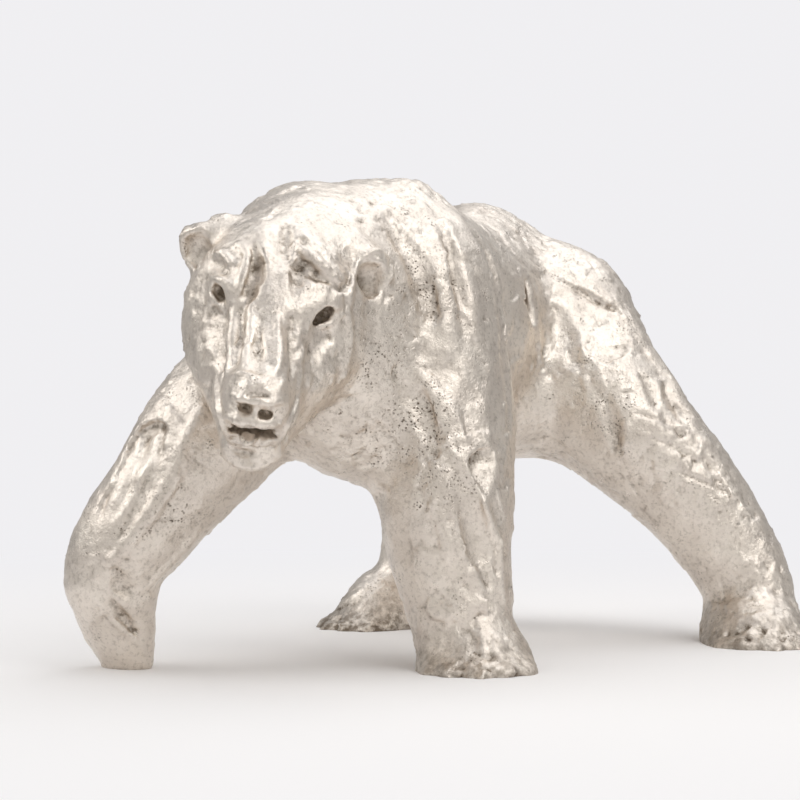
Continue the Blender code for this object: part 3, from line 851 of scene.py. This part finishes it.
def makeSilver():
    material = bpy.data.materials.new("silver")
    material.use_nodes = True
    tree = material.node_tree
    shader = tree.nodes["Principled BSDF"]
    shader.inputs["Metallic"].default_value = 1.0
    place = tree.nodes.new("ShaderNodeTexCoord").outputs["Object"]

    def noise(scale, detail, rough=0.55, distortion=0.0):
        node = tree.nodes.new("ShaderNodeTexNoise")
        node.inputs["Scale"].default_value = scale
        node.inputs["Detail"].default_value = detail
        node.inputs["Roughness"].default_value = rough
        node.inputs["Distortion"].default_value = distortion
        tree.links.new(place, node.inputs["Vector"])
        return node.outputs["Fac"]

    def spread(value, low, high, toLow=0.0, toHigh=1.0):
        node = tree.nodes.new("ShaderNodeMapRange")
        node.inputs["From Min"].default_value = low
        node.inputs["From Max"].default_value = high
        node.inputs["To Min"].default_value = toLow
        node.inputs["To Max"].default_value = toHigh
        tree.links.new(value, node.inputs["Value"])
        return node.outputs["Result"]

    def combine(kind, first, second):
        node = tree.nodes.new("ShaderNodeMath")
        node.operation = kind
        node.use_clamp = kind == "ADD"
        for k, value in enumerate((first, second)):
            if isinstance(value, (int, float)):
                node.inputs[k].default_value = value
            else:
                tree.links.new(value, node.inputs[k])
        return node.outputs["Value"]

    def blend(share, first, second):
        node = tree.nodes.new("ShaderNodeMix")
        node.data_type = "RGBA"
        tree.links.new(share, node.inputs["Factor"])
        for k, value in ((6, first), (7, second)):
            if isinstance(value, tuple):
                node.inputs[k].default_value = value
            else:
                tree.links.new(value, node.inputs[k])
        return node.outputs[2]

    def attribute(name):
        node = tree.nodes.new("ShaderNodeAttribute")
        node.attribute_name = name
        return node.outputs["Fac"]

    hollow, fold, foot, pitted = (attribute(name) for name in ("hollow", "fold", "foot", "pitted"))
    speck = noise(420, 4, 0.7)
    # Painted shade and patina: hollows and folds are darkened for the shade that falls in them and for the
    # patina there. The feet get darker towards the floor, in patches.
    darkMask = combine("MULTIPLY", spread(hollow, 0.1, 0.8), spread(speck, 0.4, 0.6, 0.15, 0.8))
    darkMask = combine("ADD", darkMask, spread(fold, 0.45, 1.0, 0.0, 0.7))
    footPatches = spread(noise(190, 5, 0.65), 0.4, 0.6, 0.2, 0.75)
    darkMask = combine("ADD", darkMask, combine("MULTIPLY", foot, footPatches))
    cells = tree.nodes.new("ShaderNodeTexVoronoi")
    cells.inputs["Scale"].default_value = silverLook["pitsPerMetre"]
    tree.links.new(place, cells.inputs["Vector"])
    crowded = combine("MULTIPLY", pitted, spread(noise(120, 4), 0.4, 0.6))
    patches = combine("ADD", spread(noise(75, 5, 0.65), 0.56, 0.7), crowded)
    pits = combine("MULTIPLY", spread(cells.outputs["Distance"], 0.40, 0.24), patches)
    pits = combine("MULTIPLY", pits, spread(noise(700, 2), 0.44, 0.52))
    tarnish = spread(noise(45, 5, 0.6), 0.35, 0.7)
    body = blend(tarnish, silverLook["bright"], silverLook["dull"])
    body = blend(spread(speck, 0.5, 0.66, 0.0, 0.3), body, silverLook["patinaAndShade"])
    dark = combine("ADD", darkMask, combine("MULTIPLY", pits, 0.95))
    # The painted shade, patina and pits take the colour towards the dark patina-and-shade colour.
    tree.links.new(blend(dark, body, silverLook["patinaAndShade"]), shader.inputs["Base Color"])
    rough = spread(noise(110, 4), 0.3, 0.7, silverLook["smoothest"], silverLook["roughest"])
    tree.links.new(combine("ADD", rough, combine("MULTIPLY", dark, 0.2)), shader.inputs["Roughness"])

    crumple = tree.nodes.new("ShaderNodeTexNoise")
    crumple.noise_type = "RIDGED_MULTIFRACTAL"
    crumple.inputs["Scale"].default_value, crumple.inputs["Roughness"].default_value = silverLook["crumple"]
    crumple.inputs["Detail"].default_value = 4
    crumple.inputs["Distortion"].default_value = 0.6
    tree.links.new(place, crumple.inputs["Vector"])
    folds = combine("MULTIPLY", crumple.outputs["Fac"], spread(noise(40, 3), 0.35, 0.65, 0.15, 0.5))
    fineness, strength = silverLook["grain"]
    height = combine("ADD", combine("MULTIPLY", noise(fineness, 4, 0.65), strength), folds)
    height = combine("SUBTRACT", height, combine("MULTIPLY", pits, 0.7))
    bump = tree.nodes.new("ShaderNodeBump")
    bump.inputs["Strength"].default_value = 1.0
    bump.inputs["Distance"].default_value = silverLook["bump"]
    tree.links.new(height, bump.inputs["Height"])
    tree.links.new(bump.outputs["Normal"], shader.inputs["Normal"])
    return material


cameraPlace = {
    "ahead": 818.4,  # drawn millimetres
    "left": 513.0,
    "height": 120.0,
    "turn": 30,  # degrees between the trunk and the view
    "tilt": 0.97,  # degrees that it looks up
    "lens": 85.05,
}


studio = {
    "floorRadius": 3.2,
    "wallHeight": 2.4,
    "bend": 1.3,  # radius of the sweep from floor to wall
    "bendSteps": 12,
    "sides": 96,
    "paper": (0.95, 0.94, 0.94, 1),
    "backdrop": (0.872, 0.865, 0.885, 1),  # how the far paper looks
    "bounceAhead": (0.66, 0.64, 0.61, 1),  # how strongly the paper by the camera is seen in the silver
    "bounceBehind": (0.45, 0.44, 0.43, 1),
    "bounceFrom": (0.6, 2.6),  # metres towards the camera over which one turns into the other
    "fade": (0.12, 0.9),  # metres from the bear over which the floor turns into backdrop
    "air": (0.42, 0.42, 0.43, 1),
    "airStrength": 1.0,
}


def fadeToBackdrop(tree, shader):
    place = tree.nodes.new("ShaderNodeTexCoord").outputs["Object"]
    away = tree.nodes.new("ShaderNodeVectorMath")
    away.operation = "LENGTH"
    tree.links.new(place, away.inputs[0])
    share = tree.nodes.new("ShaderNodeMapRange")
    share.interpolation_type = "SMOOTHSTEP"
    share.inputs["From Min"].default_value, share.inputs["From Max"].default_value = studio["fade"]
    tree.links.new(away.outputs["Value"], share.inputs["Value"])
    side = tree.nodes.new("ShaderNodeVectorMath")
    side.operation = "DOT_PRODUCT"
    side.inputs[1].default_value = (cos(radians(cameraPlace["turn"])), sin(radians(cameraPlace["turn"])), 0)
    tree.links.new(place, side.inputs[0])
    ahead = tree.nodes.new("ShaderNodeMapRange")
    ahead.inputs["From Min"].default_value, ahead.inputs["From Max"].default_value = studio["bounceFrom"]
    tree.links.new(side.outputs["Value"], ahead.inputs["Value"])
    bounce = tree.nodes.new("ShaderNodeMix")
    bounce.data_type = "RGBA"
    bounce.inputs[6].default_value = studio["bounceBehind"]
    bounce.inputs[7].default_value = studio["bounceAhead"]
    tree.links.new(ahead.outputs["Result"], bounce.inputs["Factor"])
    seen = tree.nodes.new("ShaderNodeMix")
    seen.data_type = "RGBA"
    seen.inputs[7].default_value = studio["backdrop"]
    tree.links.new(bounce.outputs[2], seen.inputs[6])
    tree.links.new(tree.nodes.new("ShaderNodeLightPath").outputs["Is Camera Ray"], seen.inputs["Factor"])
    glow = tree.nodes.new("ShaderNodeEmission")
    tree.links.new(seen.outputs[2], glow.inputs["Color"])
    both = tree.nodes.new("ShaderNodeMixShader")
    tree.links.new(share.outputs["Result"], both.inputs["Fac"])
    tree.links.new(shader.outputs["BSDF"], both.inputs[1])
    tree.links.new(glow.outputs["Emission"], both.inputs[2])
    tree.links.new(both.outputs["Shader"], tree.nodes["Material Output"].inputs["Surface"])


# A round studio sweep: flat under the bear and curved up all round, so that it has no corners on any side.
def makeFloor():
    flat, bend, around = studio["floorRadius"] - studio["bend"], studio["bend"], studio["sides"]
    profile = [(0.0, 0.0), (flat * 0.5, 0.0), (flat, 0.0)]
    for k in range(1, studio["bendSteps"] + 1):
        angle = pi / 2 * k / studio["bendSteps"]
        profile.append((flat + bend * sin(angle), bend * (1 - cos(angle))))
    profile.append((studio["floorRadius"], studio["wallHeight"]))
    points = [(0.0, 0.0, 0.0)]
    turns = [2 * pi * k / around for k in range(around)]
    for radius, height in profile[1:]:
        points += [(radius * cos(turn), radius * sin(turn), height) for turn in turns]
    faces = [(0, 1 + k, 1 + (k + 1) % around) for k in range(around)]
    for ring in range(len(profile) - 2):
        a, b = 1 + ring * around, 1 + (ring + 1) * around
        faces += [(a + k, b + k, b + (k + 1) % around, a + (k + 1) % around) for k in range(around)]
    mesh = bpy.data.meshes.new("studio_floor")
    mesh.from_pydata(points, [], faces)
    mesh.shade_smooth()
    floor = bpy.data.objects.new("studio_floor", mesh)
    bpy.context.scene.collection.objects.link(floor)
    paper = bpy.data.materials.new("studio_paper")
    paper.use_nodes = True
    shader = paper.node_tree.nodes["Principled BSDF"]
    shader.inputs["Base Color"].default_value = studio["paper"]
    shader.inputs["Roughness"].default_value = 0.9
    shader.inputs["Specular IOR Level"].default_value = 0.1
    fadeToBackdrop(paper.node_tree, shader)
    mesh.materials.append(paper)
    return floor


lights = {
    # name: (place, aim, width, depth, watts, colour)
    "left": ((0.85, -1.2, 1.35), (0, 0, 0.12), 1.3, 1.3, 8.8, (1.0, 0.985, 0.96)),
    "right": ((0.3, 1.4, 1.4), (0, 0, 0.12), 1.3, 1.3, 9.2, (1.0, 0.985, 0.96)),
    "top": ((-0.9, 0.1, 2.2), (-0.4, 0, 0), 2.2, 2.8, 23, (1.0, 1.0, 1.0)),
}


def makeLights():
    for name, (place, aim, width, depth, watts, colour) in lights.items():
        lamp = bpy.data.lights.new(name, "AREA")
        lamp.shape = "RECTANGLE"
        lamp.size, lamp.size_y = width, depth
        lamp.energy = watts
        lamp.color = colour
        holder = bpy.data.objects.new(name, lamp)
        holder.location = place
        holder.rotation_euler = (Vector(aim) - Vector(place)).to_track_quat("-Z", "Y").to_euler()
        bpy.context.scene.collection.objects.link(holder)
    world = bpy.data.worlds.new("air")
    world.use_nodes = True
    world.node_tree.nodes["Background"].inputs["Color"].default_value = studio["air"]
    world.node_tree.nodes["Background"].inputs["Strength"].default_value = studio["airStrength"]
    bpy.context.scene.world = world
    bpy.context.scene.view_settings.view_transform = "Standard"


def makeCamera():
    camera = bpy.data.objects.new("camera", bpy.data.cameras.new("camera"))
    camera.data.lens = cameraPlace["lens"]
    camera.data.sensor_width = 36
    camera.location = (
        (cameraPlace["ahead"] - bearForm["middle"][0]) * unit,
        (cameraPlace["left"] - bearForm["middle"][1]) * unit,
        cameraPlace["height"] * unit,
    )
    turn, tilt = radians(cameraPlace["turn"]), radians(cameraPlace["tilt"])
    aim = Vector((-cos(turn) * cos(tilt), -sin(turn) * cos(tilt), sin(tilt)))
    camera.rotation_euler = aim.to_track_quat("-Z", "Y").to_euler()
    bpy.context.scene.collection.objects.link(camera)
    bpy.context.scene.camera = camera


makeCamera()
floor = makeFloor()
makeLights()
print("studio ready")
silver = makeSilver()
bear = makeBear(silver)
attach(bear, "root")
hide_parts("bear")
print("bear in place")
